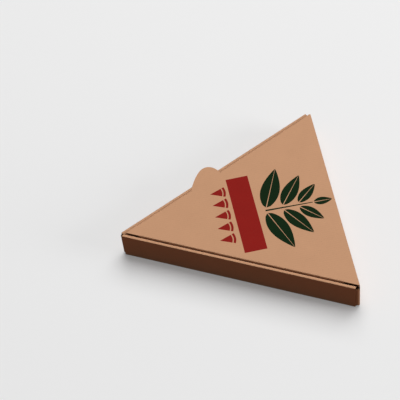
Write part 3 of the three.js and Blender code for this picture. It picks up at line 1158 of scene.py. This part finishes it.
class Nodes:
    """Short ways to add shader nodes to one material or world."""

    def __init__(self, owner: Material | bpy.types.World) -> None:
        """Empties the node tree of a material or world and keeps it at hand.

        Args:
            owner: the material or world.
        """
        owner.use_nodes = True
        self.tree = owner.node_tree
        self.tree.nodes.clear()

    @cached_property
    def sheet(self) -> Socket:
        """Coordinates in the blank."""
        return self.add("ShaderNodeUVMap", uv_map="sheet").outputs[0]

    def add(self, kind: str, **settings: object) -> bpy.types.Node:
        """Adds a node and sets its attributes.

        Args:
            kind: the node's type.
            **settings: its attributes.

        Returns:
            The node.
        """
        node = self.tree.nodes.new(kind)
        for name, value in settings.items():
            setattr(node, name, value)
        return node

    def feed(self, socket: Socket, value: Socket | Colour | float) -> None:
        """Joins an output to an input, or sets the input's own value.

        Args:
            socket: the input.
            value: the output or number.
        """
        if isinstance(value, Socket):
            self.tree.links.new(value, socket)
        else:
            socket.default_value = value

    def set(self, node: bpy.types.Node, **values: Socket | Colour | float) -> bpy.types.Node:
        """Feeds a node's inputs by their names, with underscores for spaces.

        Args:
            node: the node.
            **values: what its inputs get.

        Returns:
            The same node.
        """
        for name, value in values.items():
            self.feed(node.inputs[name.replace("_", " ")], value)
        return node

    def math(self, operation: str, *values: Socket | float) -> Socket:
        """Works out a sum of sockets or numbers.

        Args:
            operation: the kind of sum.
            *values: its terms.

        Returns:
            The result.
        """
        node = self.add("ShaderNodeMath", operation=operation)
        for socket, value in zip(node.inputs, values):
            self.feed(socket, value)
        return node.outputs[0]

    def mix(self, share: Socket | float, one: Socket | Colour, other: Socket | Colour) -> Socket:
        """Blends two colours.

        Args:
            share: how much of the other colour.
            one: a colour.
            other: the other colour.

        Returns:
            The blend.
        """
        node = self.add("ShaderNodeMix", data_type="RGBA")
        for name, value in (("Factor", share), ("A", one), ("B", other)):
            self.feed(next(s for s in node.inputs if s.name == name and s.enabled), value)
        return next(s for s in node.outputs if s.enabled)

    def noise(self, grain: Grain) -> Socket:
        """Adds soft noise over the sheet.

        Args:
            grain: its look.

        Returns:
            The noise, from 0 to 1.
        """
        place = self.sheet
        if grain.stretch:
            turn = self.set(self.add("ShaderNodeMapping"), Vector=place)
            self.set(turn, Rotation=(0, 0, math.radians(grain.degrees)))
            stretch = self.set(self.add("ShaderNodeMapping"), Vector=turn.outputs[0])
            place = self.set(stretch, Scale=(*grain.stretch, 1)).outputs[0]
        node = self.set(self.add("ShaderNodeTexNoise"), Vector=place, Scale=grain.scale, Detail=grain.detail)
        return node.outputs["Fac"]

    def ramp(self, value: Socket, low: float, high: float, start: float = 0, end: float = 1) -> Socket:
        """Carries the numbers from low to high onto those from start to end."""
        limits = {"From_Min": low, "From_Max": high, "To_Min": start, "To_Max": end}
        return self.set(self.add("ShaderNodeMapRange"), Value=value, **limits).outputs[0]


@dataclass(frozen=True)
class Flecks:
    """Sparse specks: their tone against the board, their noise, where in it they start, their strength."""

    tone: float
    grain: Grain
    start: float
    strength: float
    edge: float = 0.06


@dataclass(frozen=True)
class Ink:
    """A flat ink, and how much of the board shows through where it lies thin."""

    name: str
    colour: Colour
    wear: float
    shade: float = 0.86
    patches: Grain = Grain(60)
    thin: Grain = Grain(900, 3, 12, (1, 1.8))
    thin_from: float = 0.45
    thin_to: float = 0.78

    def over(self, nodes: Nodes, board: Socket) -> Socket:
        """Adds the colour of the board under this ink, which is a little uneven and thin in places.

        Args:
            nodes: the material's nodes.
            board: the bare board's colour.

        Returns:
            The colour.
        """
        thin = nodes.ramp(nodes.noise(self.thin), self.thin_from, self.thin_to, end=self.wear)
        layer = nodes.mix(nodes.noise(self.patches), scaled_colour(self.colour, self.shade), self.colour)
        return nodes.mix(thin, layer, board)


@dataclass(frozen=True)
class Kraft:
    """Uncoated brown board: mottled, with fibres, flecks and the flutes showing faintly through, and painted
    shade on its folds.
    """

    name: str
    colour: Colour
    mottle: float = 0.10
    cloud: Grain = Grain(38, 4)
    fibre: float = 0.16
    streaks: tuple[Grain, ...] = (
        Grain(1, 2, 12, (160, 1500)),
        Grain(1, 2, 72, (190, 1700)),
        Grain(1, 2, -48, (140, 1300)),
    )
    washboard: float = 0.025
    pitch: float = 2.6 * MM
    ridge: float = 0.12
    # painted shade: how much darker the board is drawn at the middle of each fold
    painted_fold_shade: float = 0.07
    flecks: tuple[Flecks, ...] = (
        Flecks(0.55, Grain(650, 2, 30, (1, 2.2)), 0.66, 0.5),
        Flecks(1.35, Grain(520, 2, 30, (1, 2.2)), 0.67, 0.35),
    )
    roughness: float = 0.9
    specular: float = 0.08
    bump: float = 0.5
    relief: float = 0.05 * MM

    def _fibres(self, nodes: Nodes) -> Socket:
        """Adds streaks in several directions, from 0 to 1, as paper fibres lie."""
        total = reduce(partial(nodes.math, "ADD"), map(nodes.noise, self.streaks))
        return nodes.math("MULTIPLY", total, 1 / len(self.streaks))

    def _wave(self, nodes: Nodes) -> Socket:
        """Adds the flutes' wave across the sheet, from -1 to 1."""
        split = nodes.set(nodes.add("ShaderNodeSeparateXYZ"), Vector=nodes.sheet)
        return nodes.math("SINE", nodes.math("MULTIPLY", split.outputs[0], math.tau / self.pitch))

    def _tone(self, nodes: Nodes, fibres: Socket, wave: Socket) -> Socket:
        """Adds the factor on the board's colour, 1 on average and lower on the folds, where shade is painted
        in.

        Args:
            nodes: the material's nodes.
            fibres: streaks from 0 to 1.
            wave: the flutes' wave.

        Returns:
            The factor.
        """
        cloud = nodes.math("SUBTRACT", nodes.noise(self.cloud), 0.5)
        streaks = nodes.math("SUBTRACT", fibres, 0.5)
        fold = nodes.add("ShaderNodeAttribute", attribute_name="fold").outputs["Fac"]
        tone = nodes.math("ADD", 1.0, nodes.math("MULTIPLY", cloud, self.mottle))
        tone = nodes.math("ADD", tone, nodes.math("MULTIPLY", streaks, self.fibre))
        tone = nodes.math("ADD", tone, nodes.math("MULTIPLY", wave, self.washboard / 2))
        # painted shade: the colour is darkened towards the middle of each fold
        return nodes.math("SUBTRACT", tone, nodes.math("MULTIPLY", fold, self.painted_fold_shade))

    def _surface(self, nodes: Nodes) -> tuple[Socket, Socket]:
        """Adds the bare board's colour and the height of its surface.

        Args:
            nodes: the material's nodes.

        Returns:
            The colour and the height.
        """
        fibres = self._fibres(nodes)
        wave = self._wave(nodes)
        scaled = nodes.add("ShaderNodeVectorMath", operation="SCALE")
        scaled.inputs[0].default_value = self.colour[:3]
        colour = nodes.set(scaled, Scale=self._tone(nodes, fibres, wave)).outputs[0]
        for flecks in self.flecks:
            specks = nodes.ramp(nodes.noise(flecks.grain), flecks.start, flecks.start + flecks.edge)
            share = nodes.math("MULTIPLY", specks, flecks.strength)
            colour = nodes.mix(share, colour, scaled_colour(self.colour, flecks.tone))
        return colour, nodes.math("ADD", fibres, nodes.math("MULTIPLY", wave, self.ridge))

    def material(self, ink: Ink | None = None) -> Material:
        """Makes the board's material, bare or printed with an ink.

        Args:
            ink: the ink, if any.

        Returns:
            The material.
        """
        material = bpy.data.materials.new(ink.name if ink else self.name)
        nodes = Nodes(material)
        colour, height = self._surface(nodes)
        if ink:
            colour = ink.over(nodes, colour)
        bump = nodes.set(nodes.add("ShaderNodeBump"), Strength=self.bump, Distance=self.relief, Height=height)
        shader = nodes.set(nodes.add("ShaderNodeBsdfPrincipled"), Base_Color=colour, Normal=bump.outputs[0])
        nodes.set(shader, Roughness=self.roughness, Specular_IOR_Level=self.specular)
        nodes.set(nodes.add("ShaderNodeOutputMaterial"), Surface=shader.outputs[0])
        return material


@dataclass(frozen=True)
class Studio:
    """The floor, the lamps and the camera."""

    azimuth: float = 86.869
    elevation: float = 50.873
    roll: float = -7.792
    distance: float = 1428.6 * MM
    lens: float = 126.47
    sensor: float = 36.0
    clip_end: float = 100.0
    right_of_view: float = 64.49 * MM
    below_view: float = 28.10 * MM
    floor_size: float = 12.0
    floor_drop: float = 0.2 * MM
    floor_seen: float = 0.87
    floor_glow: float = 0.22
    glow_level: float = 0.79
    floor_lit: Colour = (0.17, 0.05, 0.015, 1.0)
    sky: float = 0.13
    key_energy: float = 388.0
    key_size: float = 5.6
    key_place: tuple[float, float, float] = (-2.7, 1.4, 5.2)
    side_energy: float = 60.0
    side_size: float = 1.6
    side_place: tuple[float, float, float] = (1.5, 3.6, 1.2)

    def _axes(self) -> tuple[Vector, Vector, Vector]:
        """Finds the camera's right, up and backward directions.

        Returns:
            The three directions.
        """
        turn, rise, roll = (math.radians(angle) for angle in (self.azimuth, self.elevation, self.roll))
        back = Vector((math.sin(turn) * math.cos(rise), -math.cos(turn) * math.cos(rise), math.sin(rise)))
        right = Vector(UPWARDS).cross(back).normalized()
        up = back.cross(right)
        cosine, sine = math.cos(roll), math.sin(roll)
        return right * cosine + up * sine, up * cosine - right * sine, back

    def add_camera(self) -> None:
        """Adds the camera at the photograph's viewing angle."""
        right, up, back = self._axes()
        data = bpy.data.cameras.new("view")
        data.lens = self.lens
        data.sensor_width = self.sensor
        data.clip_end = self.clip_end
        camera = add_object("view", data)
        place = back * self.distance - right * self.right_of_view + up * self.below_view
        camera.matrix_world = Matrix.Translation(place) @ Matrix((right, up, back)).transposed().to_4x4()
        bpy.context.scene.camera = camera

    def add_floor(self) -> None:
        """Adds the floor, which looks pale with a light shadow and sends back little light."""
        mesh = bmesh.new()
        bmesh.ops.create_grid(mesh, x_segments=1, y_segments=1, size=self.floor_size / 2)
        bmesh.ops.translate(mesh, vec=(0, 0, -self.floor_drop), verts=mesh.verts)
        data = bpy.data.meshes.new("floor")
        mesh.to_mesh(data)
        mesh.free()
        floor = add_object("floor", data)
        material = bpy.data.materials.new("floor_paper")
        nodes = Nodes(material)
        seen = nodes.add("ShaderNodeLightPath").outputs["Is Camera Ray"]
        shown = scaled_colour((1.0, 1.0, 1.0, 1.0), self.floor_seen * (1 - self.floor_glow))
        paper = nodes.set(nodes.add("ShaderNodeBsdfDiffuse"), Color=nodes.mix(seen, self.floor_lit, shown))
        strength = nodes.math("MULTIPLY", seen, self.floor_glow * self.glow_level)
        glow = nodes.set(nodes.add("ShaderNodeEmission"), Strength=strength)
        both = nodes.add("ShaderNodeAddShader")
        for socket, shader in zip(both.inputs, (paper, glow)):
            nodes.feed(socket, shader.outputs[0])
        nodes.set(nodes.add("ShaderNodeOutputMaterial"), Surface=both.outputs[0])
        data.materials.append(material)

    @staticmethod
    def _add_lamp(name: str, energy: float, size: float, place: Vector) -> None:
        """Adds a square lamp that faces the carton.

        Args:
            name: the lamp's name.
            energy: its power in watts.
            size: length of its sides.
            place: where it stands.
        """
        data = bpy.data.lights.new(name, "AREA")
        data.energy = energy
        data.size = size
        turn = place.to_track_quat("Z", "Y").to_matrix().to_4x4()
        add_object(name, data).matrix_world = Matrix.Translation(place) @ turn

    def add_light(self) -> None:
        """Adds the wide lamp above and behind the carton, a low one beside it, and even light all round."""
        self._add_lamp("key", self.key_energy, self.key_size, Vector(self.key_place))
        self._add_lamp("side", self.side_energy, self.side_size, Vector(self.side_place))
        world = bpy.data.worlds.new("studio")
        bpy.context.scene.world = world
        nodes = Nodes(world)
        seen = nodes.add("ShaderNodeLightPath").outputs["Is Camera Ray"]
        strength = nodes.ramp(seen, 0, 1, self.sky, self.floor_seen)
        background = nodes.set(nodes.add("ShaderNodeBackground"), Color=(1, 1, 1, 1), Strength=strength)
        nodes.set(nodes.add("ShaderNodeOutputWorld"), Surface=background.outputs[0])


def main() -> None:
    """Builds the carton and the studio."""
    logging.basicConfig(level=logging.INFO, format="%(message)s")
    bpy.context.scene.view_settings.view_transform = "Standard"
    sizes = CartonSizes()
    liner = Kraft("kraft_liner", srgb(197, 150, 116))
    edge = Kraft("kraft_cut_edge", srgb(158, 116, 84), fibre=0.3, mottle=0.2)
    materials = [
        liner.material(),
        edge.material(),
        liner.material(Ink("red_ink", srgb(143, 26, 22), 0.05)),
        liner.material(Ink("green_ink", srgb(11, 38, 16), 0.02)),
    ]
    tray = Tray(sizes).build(materials)
    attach(tray, "tray")
    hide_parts("tray")
    lid = Lid(sizes).build(materials, LidPrint())
    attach(lid, "lid")
    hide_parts("lid")
    for piece in (tray, lid):
        LOG.info("%s: %d faces", piece.name, len(piece.data.polygons))
    studio = Studio()
    studio.add_floor()
    studio.add_light()
    studio.add_camera()


if __name__ == "__main__":
    main()
